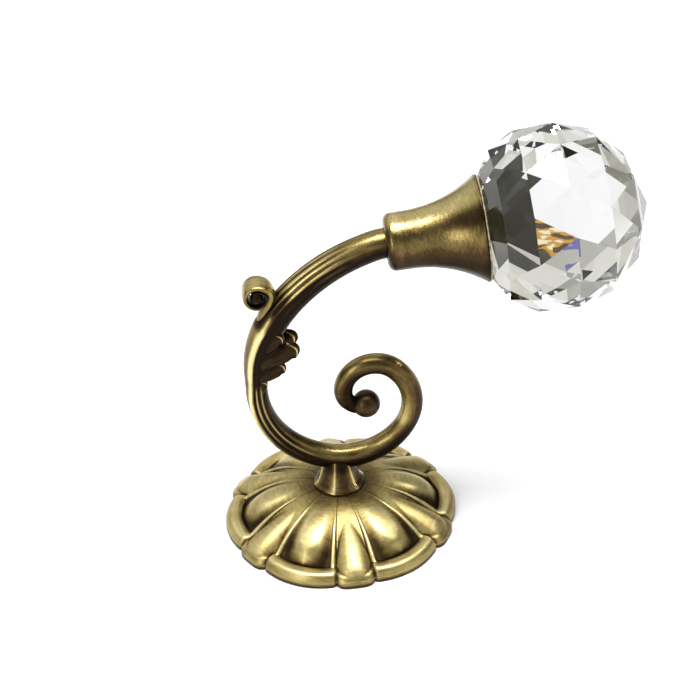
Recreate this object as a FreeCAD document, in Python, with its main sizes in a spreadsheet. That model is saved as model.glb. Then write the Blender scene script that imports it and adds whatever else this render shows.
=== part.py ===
import FreeCAD, Part
import Sketcher
import math
import os

# A wall-mounted curtain holdback: a cast rosette, a scrolled arm with an acanthus leaf,
# a flared bell on the arm's end and a faceted glass ball glued in the bell's mouth.
# Millimetres. The origin is the centre of the rosette's back face, +Z points away from the
# wall and +X points from the stem towards the ball. The arm's centre line lies in the XZ plane.

doc = FreeCAD.newDocument("curtain_holdback")
sheet = doc.addObject("Spreadsheet::Sheet", "Sizes")

DRIVING_SIZES = [
    # rosette
    ("rosette_radius", 32.5, "centre to the edge of a wide petal"),
    ("rosette_height", 12.1, "back face to the seat of the stem"),
    ("rosette_seat_radius", 7.6, "flat seat under the stem"),
    ("petal_count", 6, "wide petals, with a narrow rib between each two"),
    ("petal_angle", 41.0, "degrees that a wide petal takes at the edge"),
    ("petal_turn", 2.0, "degrees from +X to the middle of the first wide petal"),
    ("notch_depth", 2.4, "how far the edge steps in between petal and rib"),
    ("rim_width", 5.4, "width of the raised rim along a petal's edge"),
    ("rim_height", 5.0, "top of the raised rim"),
    ("trench_height", 3.9, "bottom of the trench inside the rim"),
    ("rim_edge_height", 1.8, "outer corner of the rim"),
    ("rib_end_radius", 5.2, "half width of a rib at its outer end"),
    ("rib_start_radius", 2.4, "half width of a rib at the stem's seat"),
    ("rib_rise", 2.0, "how far a rib's outer end stands over the petals"),
    ("rib_start_sink", 0.4, "how far a rib's inner end lies under the stem's seat"),
    ("foot_width", 3.8, "flat foot that touches the wall"),
    ("casting_wall", 2.2, "wall over the hollow at the back"),
    ("boss_radius", 7.4, "boss round the bore, inside the hollow"),
    # stem
    ("stem_foot_radius", 7.15, "flange that stands on the rosette"),
    ("stem_foot_height", 1.0, "height of that flange"),
    ("stem_top_radius", 3.6, "stem where it runs into the scroll"),
    ("spigot_radius", 4.8, "spigot that fills the rosette's bore, down to the wall"),
    ("spigot_clearance", 0.1, "radial play of the spigot in the bore"),
    ("thread_radius", 2.5, "tapped hole for the wall fixing"),
    ("thread_depth", 16.6, "tapped hole for the wall fixing, from the wall"),
    # scroll and arm: tangent arcs, each a radius and a sweep in degrees
    ("scroll_offset", 2.6, "lowest point of the scroll, along X from the stem's axis"),
    ("scroll_lift", 8.8, "lowest point of the centre line over the stem's seat"),
    ("scroll_bottom_radius", 19.3, "first arc on both sides of the lowest point"),
    ("scroll_bottom_sweep", 60.0, "towards the curl"),
    ("scroll_side_radius", 15.0, "right side of the scroll"),
    ("scroll_side_sweep", 75.0, "right side of the scroll"),
    ("scroll_top_radius", 8.4, "over the top and down"),
    ("scroll_top_sweep", 135.0, "over the top and down"),
    ("curl_radius", 5.7, "start of the curl"),
    ("curl_sweep", 50.0, "start of the curl"),
    ("curl_end_radius", 3.3, "end of the curl"),
    ("curl_end_sweep", 80.0, "end of the curl"),
    ("heel_sweep", 20.0, "bottom arc, towards the leaf"),
    ("back_radius", 25.5, "left side of the scroll"),
    ("back_sweep", 70.0, "left side of the scroll"),
    ("back_straight", 4.0, "straight run beside the leaf's tail"),
    ("leaf_arc_radius", 31.0, "arc under the leaf"),
    ("leaf_arc_sweep", 30.0, "arc under the leaf"),
    ("reach_radius", 50.0, "long arc towards the bell"),
    ("reach_sweep", 44.0, "long arc towards the bell"),
    ("neck_radius", 14.0, "short arc into the bell"),
    ("neck_sweep", 12.0, "short arc into the bell"),
    # half thickness of the rod along the way
    ("rod_at_bottom", 3.4, "lowest point"),
    ("rod_at_side", 3.0, "right side of the scroll"),
    ("rod_at_curl", 2.6, "start of the curl"),
    ("rod_at_tip", 2.2, "end of the curl"),
    ("rod_at_back", 3.0, "left side of the scroll"),
    ("rod_at_leaf", 4.3, "where the leaf leaves the arm"),
    ("rod_at_bell", 4.05, "where the arm enters the bell"),
    ("curl_ball_radius", 3.3, "small ball that ends the curl"),
    # acanthus leaf
    ("volute_radius", 3.9, "rolled tip of the leaf"),
    ("volute_along", 8.2, "from the start of the long arc to the roll"),
    ("volute_width", 7.0, "rolled tip of the leaf, across the arm"),
    ("volute_gap", 0.3, "between the rolled tip and the arm"),
    ("volute_eye_radius", 1.7, "boss in the middle of the roll"),
    ("volute_groove", 1.1, "width of the groove round that boss"),
    ("volute_groove_depth", 0.9, "depth of that groove"),
    ("leaf_spine_radius", 2.5, "half thickness of the leaf's spine"),
    ("leaf_neck_start", 14.0, "along the leaf's arc, where its neck leaves the arm"),
    ("leaf_neck_rise", 2.3, "middle of the neck there, outwards from the arm's centre line"),
    ("leaf_neck_taper", 0.8, "half thickness of the neck at the roll, as a share of the spine"),
    ("lobe_tip_radius", 2.0, "rounded tip of a lobe"),
    ("lobe_base_radius", 1.5, "a lobe where it leaves the spine"),
    # bell and its screw
    ("bell_length", 25.5, "narrow end to mouth"),
    ("bell_neck_radius", 7.7, "outside of the narrow end"),
    ("bell_straight", 5.5, "straight part behind the flare"),
    ("bell_mouth_radius", 14.5, "outside of the mouth"),
    ("bell_lip", 1.7, "width of the mouth's flat lip"),
    ("bell_wall", 1.6, "wall of the narrow part"),
    ("bell_floor", 4.0, "end wall that the screw clamps"),
    ("bell_shoulder", 2.2, "rounding of the narrow end"),
    ("bell_socket_depth", 1.5, "socket that takes the arm's end"),
    ("bell_socket_clearance", 0.1, "radial play of the arm's end in the socket"),
    ("screw_radius", 2.0, "shank"),
    ("screw_clearance", 0.2, "radial play in the bell's end wall"),
    ("screw_thread_clearance", 0.05, "radial play in the tapped hole"),
    ("screw_grip", 7.5, "length of shank in the arm"),
    ("screw_hole_spare", 1.0, "depth of the tapped hole past the screw"),
    ("screw_head_radius", 3.9, "pan head"),
    ("screw_head_height", 2.6, "pan head"),
    ("screw_head_rounding", 1.1, "pan head"),
    ("screw_slot_width", 1.0, "slot"),
    ("screw_slot_depth", 1.1, "slot"),
    # glue and ball
    ("glue_thickness", 0.5, "cured glue between the lip and the ball's seat"),
    ("glue_margin", 0.3, "lip left bare outside the glue"),
    ("ball_radius", 25.0, "corners of the glass ball"),
    ("ball_seat_radius", 14.0, "corners of the ground seat"),
    ("ball_seat_depth", 18.2, "centre of the ball to its seat"),
    ("ball_facets", 12, "corners in each full ring"),
    ("ball_turn", 11.5, "degrees that the rings are turned about the bell's axis"),
]

# Corner rings of the ball: degrees from the far pole, share of the full count of corners,
# and whether the ring is turned by half a facet.
BALL_RINGS = [
    (34.0, 0.5, True),
    (59.5, 1.0, True),
    (84.0, 1.0, False),
    (107.0, 1.0, True),
    (126.0, 1.0, False),
]

# Lobes of the leaf on each side of the arm: root and tip, each as millimetres along the arm
# from the start of the leaf's arc, millimetres inwards from the arm's centre line,
# and millimetres out from the arm's plane.
LEAF_LOBES = [
    ((9.5, -0.8, 1.8), (16.6, 1.7, 2.5)),
    ((5.0, -0.8, 2.0), (14.6, 7.9, 2.7)),
    ((1.0, -0.8, 1.8), (6.0, 5.4, 2.6)),
    ((-4.5, -1.0, 1.4), (-0.3, 1.2, 2.0)),
]

ROUND = 360.0
HALF_TURN = 180.0
QUARTER_TURN = 90.0
EDGE_MARGIN = 1.0
RIB_SECTIONS = 5
RIB_NOSE_ANGLES = (25.0, 50.0, 75.0)
STATION_TURN = 22.0
STATION_RUN = 4.5

for row, (alias, value, meaning) in enumerate(DRIVING_SIZES, start=1):
    sheet.set("A%d" % row, meaning)
    sheet.set("B%d" % row, str(value))
    sheet.setAlias("B%d" % row, alias)
doc.recompute()


def size(alias):
    """The value of one driving size."""
    return float(sheet.get(alias))


def polar(radius, degrees, height=0.0):
    """A point at a radius and an angle about Z."""
    angle = math.radians(degrees)
    return FreeCAD.Vector(radius * math.cos(angle), radius * math.sin(angle), height)


def in_plane(along, up, out=0.0):
    """A point of the arm's plane, or beside it."""
    return FreeCAD.Vector(along, out, up)


def add_solid(name, shape):
    """Put a finished shape in the document under its own name."""
    feature = doc.addObject("Part::Feature", name)
    feature.Label = name
    feature.Shape = shape
    return feature


# Centre line of the arm

def heading_vector(heading):
    """Unit vector in the arm's plane, at an angle from +X towards +Z."""
    angle = math.radians(heading)
    return in_plane(math.cos(angle), math.sin(angle))


def walk(start, heading, turn, legs):
    """Stations along tangent arcs.

    legs holds (radius, sweep, rod radius at its end); a sweep of 0 makes a straight run as long
    as the radius. turn is +1 for turns from +X towards +Z and -1 for the other way.
    Each station is a point, a heading and the rod's radius there."""
    point, rod = start
    stations = [(point, heading, rod)]
    for radius, sweep, rod_end in legs:
        run = radius * math.radians(sweep) if sweep else radius
        steps = int(math.ceil(max(sweep / STATION_TURN, run / STATION_RUN)))
        centre = point + heading_vector(heading + turn * QUARTER_TURN) * radius
        for step in range(1, steps + 1):
            share = step / steps
            if sweep:
                now = heading + turn * sweep * share
                place = centre - heading_vector(now + turn * QUARTER_TURN) * radius
            else:
                now = heading
                place = point + heading_vector(heading) * radius * share
            stations.append((place, now, rod + (rod_end - rod) * share))
        point, heading, rod = stations[-1]
    return stations


lowest_point = in_plane(size("scroll_offset"), size("rosette_height") + size("scroll_lift"))
lowest = (lowest_point, size("rod_at_bottom"))
to_curl = walk(lowest, 0.0, 1, [
    (size("scroll_bottom_radius"), size("scroll_bottom_sweep"), size("rod_at_side")),
    (size("scroll_side_radius"), size("scroll_side_sweep"), size("rod_at_side")),
    (size("scroll_top_radius"), size("scroll_top_sweep"), size("rod_at_curl")),
    (size("curl_radius"), size("curl_sweep"), size("rod_at_tip")),
    (size("curl_end_radius"), size("curl_end_sweep"), size("rod_at_tip")),
])
to_leaf = walk(lowest, HALF_TURN, -1, [
    (size("scroll_bottom_radius"), size("heel_sweep"), size("rod_at_bottom")),
    (size("back_radius"), size("back_sweep"), size("rod_at_back")),
    (size("back_straight"), 0.0, size("rod_at_back")),
])
leaf_point, leaf_heading, leaf_rod = to_leaf[-1]
to_bell = walk((leaf_point, leaf_rod), leaf_heading, -1, [
    (size("leaf_arc_radius"), size("leaf_arc_sweep"), size("rod_at_leaf")),
    (size("reach_radius"), size("reach_sweep"), size("rod_at_bell")),
    (size("neck_radius"), size("neck_sweep"), size("rod_at_bell")),
])
bell_point, bell_heading, bell_rod = to_bell[-1]

leaf_arc_centre = leaf_point + heading_vector(leaf_heading - QUARTER_TURN) * size("leaf_arc_radius")
reach_heading = leaf_heading - size("leaf_arc_sweep")
reach_start = leaf_arc_centre + heading_vector(reach_heading + QUARTER_TURN) * size("leaf_arc_radius")
reach_centre = reach_start + heading_vector(reach_heading - QUARTER_TURN) * size("reach_radius")

# Everything on the arm's end shares one axis: local +Z runs from the arm's end to the ball.
bell_axis = FreeCAD.Placement(
    bell_point, FreeCAD.Rotation(FreeCAD.Vector(0, 1, 0), QUARTER_TURN - bell_heading)
)


# Rosette

def rosette_profile_height(radius):
    """Top of the dish between the stem's seat and the trench: a parabola that leaves the
    seat level and falls steeply near the rim."""
    seat = size("rosette_seat_radius")
    trench = size("rosette_radius") - size("rim_width")
    share = (radius - seat) / (trench - seat)
    fall = size("rosette_height") - size("trench_height")
    return size("rosette_height") - fall * share ** 2


def rosette_dish():
    """The dish turned about Z, with its raised rim. It is a little larger than the
    scalloped outline that trims it."""
    radius = size("rosette_radius")
    seat = size("rosette_seat_radius")
    trench = radius - size("rim_width")
    waypoints = 6
    crown = []
    for step in range(waypoints + 1):
        reach = seat + (trench - seat) * step / waypoints
        crown.append(in_plane(reach, rosette_profile_height(reach)))
    curve = Part.BSplineCurve()
    curve.interpolate(crown)
    rim_top = in_plane(radius - size("rim_width") / 2.0, size("rim_height"))
    edge = radius + EDGE_MARGIN
    corner = in_plane(edge, size("rim_edge_height"))
    rim = Part.Arc(crown[-1], rim_top, corner)
    edges = [
        curve.toShape(),
        rim.toShape(),
        Part.makeLine(corner, in_plane(edge, 0.0)),
        Part.makeLine(in_plane(edge, 0.0), in_plane(0.0, 0.0)),
        Part.makeLine(in_plane(0.0, 0.0), in_plane(0.0, size("rosette_height"))),
        Part.makeLine(in_plane(0.0, size("rosette_height")), crown[0]),
    ]
    face = Part.Face(Part.Wire(edges))
    return face.revolve(FreeCAD.Vector(), FreeCAD.Vector(0, 0, 1), ROUND)


def rosette_outline():
    """A tall block with the rosette's scalloped edge: an arc for each wide petal and a
    straight step behind each rib."""
    radius = size("rosette_radius")
    notch = radius - size("notch_depth")
    half = size("petal_angle") / 2.0
    count = int(size("petal_count"))
    pitch = ROUND / count
    edges = []
    for petal in range(count):
        middle = size("petal_turn") + petal * pitch
        first = polar(notch, middle - half)
        last = polar(notch, middle + half)
        edges.append(Part.Arc(first, polar(radius, middle), last).toShape())
        edges.append(Part.makeLine(last, polar(notch, middle + pitch - half)))
    outline = Part.Face(Part.Wire(edges))
    outline.translate(FreeCAD.Vector(0, 0, -EDGE_MARGIN))
    return outline.extrude(FreeCAD.Vector(0, 0, size("rosette_height") + 2.0 * EDGE_MARGIN))


def rosette_rib(angle):
    """A half-round rib that widens outwards and ends in a quarter-round nose."""
    seat = size("rosette_seat_radius")
    start_radius = size("rib_start_radius")
    end_radius = size("rib_end_radius")
    start_reach = seat - start_radius
    end_reach = size("rosette_radius") - end_radius
    sections = []
    for step in range(RIB_SECTIONS + 1):
        share = step / RIB_SECTIONS
        reach = start_reach + (end_reach - start_reach) * share
        half_width = start_radius + (end_radius - start_radius) * share
        proud = size("rib_rise") * share - size("rib_start_sink") * (1.0 - share)
        top = rosette_profile_height(max(reach, seat)) + proud
        sections.append((reach, top - half_width, half_width))
    for nose_angle in RIB_NOSE_ANGLES:
        turned = math.radians(nose_angle)
        reach = end_reach + end_radius * math.sin(turned)
        sections.append((reach, top - end_radius, end_radius * math.cos(turned)))
    wires = []
    for reach, height, half_width in sections:
        centre = in_plane(reach, height)
        wires.append(Part.Wire(Part.makeCircle(half_width, centre, FreeCAD.Vector(1, 0, 0))))
    rib = Part.makeLoft(wires, True, False)
    rib.rotate(FreeCAD.Vector(), FreeCAD.Vector(0, 0, 1), angle)
    return rib


def rosette_hollow():
    """The hollow at the back, between the foot and the boss."""
    foot = size("rosette_radius") - size("notch_depth") - size("foot_width")
    boss = size("boss_radius")
    roof = size("rosette_height") - size("casting_wall")
    middle_reach = (foot + boss) / 2.0 + size("casting_wall")
    middle = in_plane(middle_reach, rosette_profile_height(middle_reach) - size("casting_wall"))
    edges = [
        Part.makeLine(in_plane(boss, 0.0), in_plane(foot, 0.0)),
        Part.Arc(in_plane(foot, 0.0), middle, in_plane(boss, roof)).toShape(),
        Part.makeLine(in_plane(boss, roof), in_plane(boss, 0.0)),
    ]
    face = Part.Face(Part.Wire(edges))
    return face.revolve(FreeCAD.Vector(), FreeCAD.Vector(0, 0, 1), ROUND)


def make_rosette():
    """The rosette: dish, scallops, ribs, hollow and bore."""
    body = rosette_dish().common(rosette_outline())
    pitch = ROUND / int(size("petal_count"))
    ribs = []
    for rib in range(int(size("petal_count"))):
        ribs.append(rosette_rib(size("petal_turn") + (rib + 0.5) * pitch))
    body = body.fuse(ribs)
    block_half = 2.0 * size("rosette_radius")
    above_wall = Part.makeBox(
        2.0 * block_half, 2.0 * block_half, block_half,
        FreeCAD.Vector(-block_half, -block_half, 0.0)
    )
    body = body.common(above_wall).cut(rosette_hollow())
    bore = Part.makeCylinder(
        size("spigot_radius") + size("spigot_clearance"), size("rosette_height")
    )
    return body.cut(bore).removeSplitter()


# Arm

def rod_between(stations):
    """A round rod through the stations' circles, whose seams all lie on the same side."""
    wires = []
    for point, heading, rod in stations:
        ring = Part.makeCircle(rod, FreeCAD.Vector(), FreeCAD.Vector(1, 0, 0))
        ring.Placement = FreeCAD.Placement(
            point, FreeCAD.Rotation(FreeCAD.Vector(0, 1, 0), -heading)
        )
        wires.append(Part.Wire(ring))
    return Part.makeLoft(wires, True, False)


def arm_rod():
    """The rod in three stretches that share their end circles, with the arm's end in the
    bell's socket and the curl's ball."""
    stretches = [rod_between(to_curl), rod_between(to_leaf), rod_between(to_bell)]
    tip = Part.makeCylinder(
        bell_rod, size("bell_socket_depth"), bell_point, heading_vector(bell_heading)
    )
    ball = Part.makeSphere(size("curl_ball_radius"), to_curl[-1][0])
    return stretches + [tip, ball]


def arm_stem():
    """Flange, cone and spigot under the scroll."""
    seat = size("rosette_height")
    flange_top = seat + size("stem_foot_height")
    up = FreeCAD.Vector(0, 0, 1)
    flange = Part.makeCylinder(
        size("stem_foot_radius"), size("stem_foot_height"), FreeCAD.Vector(0, 0, seat), up
    )
    cone = Part.makeCone(
        size("stem_foot_radius"), size("stem_top_radius"), lowest_point.z - flange_top,
        FreeCAD.Vector(0, 0, flange_top), up
    )
    spigot = Part.makeCylinder(size("spigot_radius"), seat)
    return [flange, cone, spigot]


def beside_leaf_arc(along, inwards, out):
    """A point beside the arm, measured along its centre line from the start of the leaf's arc."""
    radius = size("leaf_arc_radius")
    if along > 0.0:
        turned = math.degrees(along / radius)
        ray = heading_vector(leaf_heading - turned + QUARTER_TURN)
        return leaf_arc_centre + ray * (radius - inwards) + in_plane(0.0, 0.0, out)
    inward = heading_vector(leaf_heading - QUARTER_TURN)
    run = heading_vector(leaf_heading)
    return leaf_point + run * along + inward * inwards + in_plane(0.0, 0.0, out)


def leaf_lobe(root, tip):
    """A tapered finger with a round tip."""
    line = tip - root
    cone = Part.makeCone(
        size("lobe_base_radius"), size("lobe_tip_radius"), line.Length, root, line
    )
    return cone.fuse(Part.makeSphere(size("lobe_tip_radius"), tip))


def leaf_volute():
    """The rolled tip of the leaf and the neck that carries it."""
    radius = size("volute_radius")
    width = size("volute_width")
    stand_off = size("rod_at_leaf") + size("volute_gap") + radius
    turned = math.degrees(size("volute_along") / size("reach_radius"))
    leave_heading = reach_heading - turned
    centre = reach_centre + heading_vector(leave_heading + QUARTER_TURN) * (
        size("reach_radius") + stand_off
    )
    across = FreeCAD.Vector(0, 1, 0)
    roll = Part.makeCylinder(radius, width, centre - across * width / 2.0, across)
    roll = roll.makeFillet(size("volute_groove_depth"), [roll.Edges[0], roll.Edges[2]])
    for side in (-1, 1):
        face_point = centre + across * side * width / 2.0
        inner = size("volute_eye_radius")
        groove = Part.makeCylinder(
            inner + size("volute_groove"), size("volute_groove_depth"), face_point, across * -side
        )
        boss = Part.makeCylinder(inner, size("volute_groove_depth"), face_point, across * -side)
        roll = roll.cut(groove.cut(boss))
    spine = size("leaf_spine_radius")
    foot = beside_leaf_arc(0.0, 0.0, 0.0)
    middle = beside_leaf_arc(size("leaf_neck_start"), -size("leaf_neck_rise"), 0.0)
    right_side = centre + heading_vector(leave_heading - QUARTER_TURN) * (radius - spine / 2.0)
    middle_heading = (leaf_heading + leave_heading) / 2.0
    neck = rod_between([
        (foot, leaf_heading, spine),
        (middle, middle_heading, spine),
        (right_side, leave_heading + QUARTER_TURN / 2.0, spine * size("leaf_neck_taper")),
    ])
    return [roll, neck]


def make_arm():
    """The arm: rod, curl, stem, leaf and the two tapped holes."""
    pieces = arm_rod() + arm_stem() + leaf_volute()
    for root, tip in LEAF_LOBES:
        for side in (-1, 1):
            start = beside_leaf_arc(root[0], root[1], root[2] * side)
            end = beside_leaf_arc(tip[0], tip[1], tip[2] * side)
            pieces.append(leaf_lobe(start, end))
    body = pieces[0].fuse(pieces[1:])
    wall_thread = Part.makeCylinder(size("thread_radius"), size("thread_depth"))
    back = heading_vector(bell_heading) * -1.0
    end_face = bell_point - back * size("bell_socket_depth")
    screw_hole = Part.makeCylinder(
        size("screw_radius") + size("screw_thread_clearance"),
        size("screw_grip") + size("screw_hole_spare"), end_face, back
    )
    return body.cut([wall_thread, screw_hole])


# Bell

def make_bell():
    """The bell as a turned profile: outline in a sketch, revolved about the bell's axis."""
    body = doc.addObject("PartDesign::Body", "bell_cup")
    body.Label = "bell_cup"
    plane = [item for item in body.Origin.OriginFeatures if item.Role == "XZ_Plane"][0]
    sketch = body.newObject("Sketcher::SketchObject", "BellProfile")
    sketch.AttachmentSupport = [(plane, "")]
    sketch.MapMode = "FlatFace"

    length = size("bell_length")
    neck = size("bell_neck_radius")
    mouth = size("bell_mouth_radius")
    straight = size("bell_straight")
    shoulder = size("bell_shoulder")
    lip = size("bell_lip")
    wall = size("bell_wall")
    floor = size("bell_floor")
    socket = size("rod_at_bell") + size("bell_socket_clearance")
    socket_depth = size("bell_socket_depth")
    hole = size("screw_radius") + size("screw_clearance")

    corners = [
        FreeCAD.Vector(hole, socket_depth, 0),
        FreeCAD.Vector(socket, socket_depth, 0),
        FreeCAD.Vector(socket, 0, 0),
        FreeCAD.Vector(neck - shoulder, 0, 0),
        FreeCAD.Vector(neck, shoulder, 0),
        FreeCAD.Vector(neck, straight, 0),
        FreeCAD.Vector(mouth, length, 0),
        FreeCAD.Vector(mouth - lip, length, 0),
        FreeCAD.Vector(neck - wall, straight, 0),
        FreeCAD.Vector(neck - wall, floor, 0),
        FreeCAD.Vector(hole, floor, 0),
    ]

    def flare_arc(start, end):
        """Arc that leaves start parallel to the axis and ends at end."""
        rise = end.x - start.x
        run = end.y - start.y
        radius = (rise * rise + run * run) / (2.0 * rise)
        centre = FreeCAD.Vector(start.x + radius, start.y, 0)
        last = math.pi - math.asin(run / radius)
        circle = Part.Circle(centre, FreeCAD.Vector(0, 0, 1), radius)
        return Part.ArcOfCircle(circle, last, math.pi)

    shoulder_circle = Part.Circle(
        FreeCAD.Vector(neck - shoulder, shoulder, 0), FreeCAD.Vector(0, 0, 1), shoulder
    )
    geometry = []
    for index, corner in enumerate(corners):
        following = corners[(index + 1) % len(corners)]
        geometry.append(Part.LineSegment(corner, following))
    geometry[3] = Part.ArcOfCircle(shoulder_circle, -math.pi / 2.0, 0.0)
    geometry[5] = flare_arc(corners[5], corners[6])
    geometry[7] = flare_arc(corners[8], corners[7])
    sketch.addGeometry(geometry, False)

    # The flares run from the mouth to the neck, so their first and second ends are swapped.
    first = {5: 2, 7: 1}
    last = {5: 1, 7: 2}
    constraints = []
    for index in range(len(geometry)):
        following = (index + 1) % len(geometry)
        constraints.append(Sketcher.Constraint(
            "Coincident", index, last.get(index, 2), following, first.get(following, 1)
        ))
    for index in (0, 2, 6, 9):
        constraints.append(Sketcher.Constraint("Horizontal", index))
    for index in (1, 4, 8, 10):
        constraints.append(Sketcher.Constraint("Vertical", index))
    constraints.append(Sketcher.Constraint("PointOnObject", 2, 1, -1))
    constraints.append(Sketcher.Constraint("Vertical", 3, 3, 3, 1))
    constraints.append(Sketcher.Constraint("Horizontal", 3, 3, 3, 2))
    sketch.addConstraint(constraints)

    def bound(kind, where, value, expression):
        """A dimension tied to the sheet."""
        number = sketch.addConstraint(Sketcher.Constraint(kind, *where, value))
        sketch.setExpression("Constraints[%d]" % number, expression)

    bound("DistanceX", (-1, 1, 0, 1), hole, "Sizes.screw_radius + Sizes.screw_clearance")
    bound("DistanceX", (-1, 1, 1, 1), socket, "Sizes.rod_at_bell + Sizes.bell_socket_clearance")
    bound("DistanceY", (-1, 1, 0, 1), socket_depth, "Sizes.bell_socket_depth")
    bound("DistanceY", (-1, 1, 3, 3), shoulder, "Sizes.bell_shoulder")
    bound("DistanceX", (-1, 1, 4, 1), neck, "Sizes.bell_neck_radius")
    bound("DistanceY", (-1, 1, 4, 2), straight, "Sizes.bell_straight")
    bound("DistanceX", (-1, 1, 6, 1), mouth, "Sizes.bell_mouth_radius")
    bound("DistanceY", (-1, 1, 6, 1), length, "Sizes.bell_length")
    bound("DistanceY", (-1, 1, 5, 3), straight, "Sizes.bell_straight")
    bound("DistanceX", (6, 2, 6, 1), lip, "Sizes.bell_lip")
    bound("DistanceX", (-1, 1, 8, 1), neck - wall, "Sizes.bell_neck_radius - Sizes.bell_wall")
    bound("DistanceY", (-1, 1, 8, 1), straight, "Sizes.bell_straight")
    bound("DistanceY", (-1, 1, 7, 3), straight, "Sizes.bell_straight")
    bound("DistanceY", (-1, 1, 9, 1), floor, "Sizes.bell_floor")

    turned = body.newObject("PartDesign::Revolution", "BellTurned")
    turned.Profile = sketch
    turned.ReferenceAxis = (sketch, ["V_Axis"])
    turned.Angle = ROUND
    body.Tip = turned
    body.Placement = bell_axis
    return body


# Screw and glue, made from primitives along the bell's axis

def make_cylinder(name, radius, height, start):
    """A cylinder whose radius, height and start along the bell's axis are bound to the sheet."""
    cylinder = doc.addObject("Part::Cylinder", name)
    cylinder.setExpression("Radius", radius)
    cylinder.setExpression("Height", height)
    cylinder.setExpression("Placement.Base.z", start)
    return cylinder


def make_screw():
    """Slotted pan-head screw through the bell's end wall into the arm."""
    shank = make_cylinder(
        "ScrewShank", "Sizes.screw_radius",
        "Sizes.bell_floor - Sizes.bell_socket_depth + Sizes.screw_grip",
        "Sizes.bell_socket_depth - Sizes.screw_grip"
    )
    head = make_cylinder(
        "ScrewHeadBlank", "Sizes.screw_head_radius", "Sizes.screw_head_height", "Sizes.bell_floor"
    )
    doc.recompute()
    top_edge = 1 + [
        edge.CenterOfMass.z > size("bell_floor") + size("screw_head_height") / 2.0 and edge.Closed
        for edge in head.Shape.Edges
    ].index(True)
    rounded = doc.addObject("Part::Fillet", "ScrewHead")
    rounded.Base = head
    rounding = size("screw_head_rounding")
    rounded.Edges = [(top_edge, rounding, rounding)]
    blank = doc.addObject("Part::Fuse", "ScrewBlank")
    blank.Base = shank
    blank.Tool = rounded
    slot = doc.addObject("Part::Box", "ScrewSlot")
    slot.setExpression("Length", "2 * Sizes.screw_head_radius")
    slot.setExpression("Width", "Sizes.screw_slot_width")
    slot.setExpression("Height", "Sizes.screw_slot_depth")
    slot.setExpression("Placement.Base.x", "-Sizes.screw_head_radius")
    slot.setExpression("Placement.Base.y", "-Sizes.screw_slot_width / 2")
    slot.setExpression(
        "Placement.Base.z",
        "Sizes.bell_floor + Sizes.screw_head_height - Sizes.screw_slot_depth"
    )
    screw = doc.addObject("Part::Cut", "cup_screw")
    screw.Label = "cup_screw"
    screw.Base = blank
    screw.Tool = slot
    screw.Placement = bell_axis
    return screw


def make_glue():
    """Ring of cured glue on the mouth's lip."""
    outer = make_cylinder(
        "GlueOuter", "Sizes.bell_mouth_radius - Sizes.glue_margin",
        "Sizes.glue_thickness", "Sizes.bell_length"
    )
    inner = make_cylinder(
        "GlueInner", "Sizes.bell_mouth_radius - Sizes.bell_lip",
        "Sizes.glue_thickness", "Sizes.bell_length"
    )
    glue = doc.addObject("Part::Cut", "adhesive_bead")
    glue.Label = "adhesive_bead"
    glue.Base = outer
    glue.Tool = inner
    glue.Placement = bell_axis
    return glue


# Glass ball

def ball_ring(polar_angle, count, turn, radius):
    """Corners of one ring, in the ball's own frame with +Z towards the far pole."""
    angle = math.radians(polar_angle)
    height = radius * math.cos(angle)
    return [
        polar(radius * math.sin(angle), turn + ROUND * corner / count, height)
        for corner in range(count)
    ]


def flat_face(points):
    """A flat face through three or more corners."""
    return Part.Face(Part.makePolygon(points + [points[0]]))


def staggered_band(upper, lower, lead):
    """Triangles between two rings with the same count; the lower ring is half a facet ahead
    of the upper one if lead is 0, and half a facet behind it if lead is -1."""
    count = len(upper)
    faces = []
    for corner in range(count):
        following = (corner + 1) % count
        below = (corner + lead) % count
        faces.append(flat_face([upper[corner], lower[below], lower[(below + 1) % count]]))
        faces.append(flat_face([upper[corner], lower[(below + 1) % count], upper[following]]))
    return faces


def make_ball():
    """The faceted ball: a point at the far pole, rings of corners and a ground seat."""
    radius = size("ball_radius")
    full = int(size("ball_facets"))
    rings = []
    for polar_angle, share, half_turned in BALL_RINGS:
        turn = size("ball_turn") + (ROUND / full / 2.0 if half_turned else 0.0)
        rings.append(ball_ring(polar_angle, int(round(full * share)), turn, radius))
    cap, shoulder = rings[0], rings[1]
    pole = FreeCAD.Vector(0, 0, radius)
    faces = []
    for corner in range(len(cap)):
        following = (corner + 1) % len(cap)
        below = 2 * corner
        after = (below + 2) % full
        faces.append(flat_face([pole, cap[corner], cap[following]]))
        faces.append(flat_face([cap[corner], shoulder[below], shoulder[below + 1]]))
        faces.append(flat_face([cap[corner], shoulder[below + 1], cap[following]]))
        faces.append(flat_face([cap[following], shoulder[below + 1], shoulder[after]]))
    faces += staggered_band(rings[1], rings[2], 0)
    faces += staggered_band(rings[2], rings[3], -1)
    faces += staggered_band(rings[3], rings[4], 0)
    seat = [
        polar(size("ball_seat_radius"), size("ball_turn") + ROUND * corner / full,
              -size("ball_seat_depth"))
        for corner in range(full)
    ]
    for corner in range(full):
        following = (corner + 1) % full
        faces.append(flat_face([
            rings[4][corner], seat[corner], seat[following], rings[4][following]
        ]))
    faces.append(flat_face(seat))
    return Part.makeSolid(Part.makeShell(faces))


add_solid("base_rosette", make_rosette())
add_solid("scroll_arm", make_arm())
make_bell()
make_screw()
make_glue()
ball = add_solid("crystal_ball", make_ball())
ball_centre_height = size("bell_length") + size("glue_thickness") + size("ball_seat_depth")
ball.Placement = bell_axis.multiply(
    FreeCAD.Placement(FreeCAD.Vector(0, 0, ball_centre_height), FreeCAD.Rotation())
)
doc.recompute()

NODES = ["base_rosette", "scroll_arm", "bell_cup", "cup_screw", "adhesive_bead", "crystal_ball"]

for item in doc.Objects:
    if "Invalid" in item.State or "Error" in item.State:
        raise RuntimeError("failed object: " + item.Label)

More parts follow.
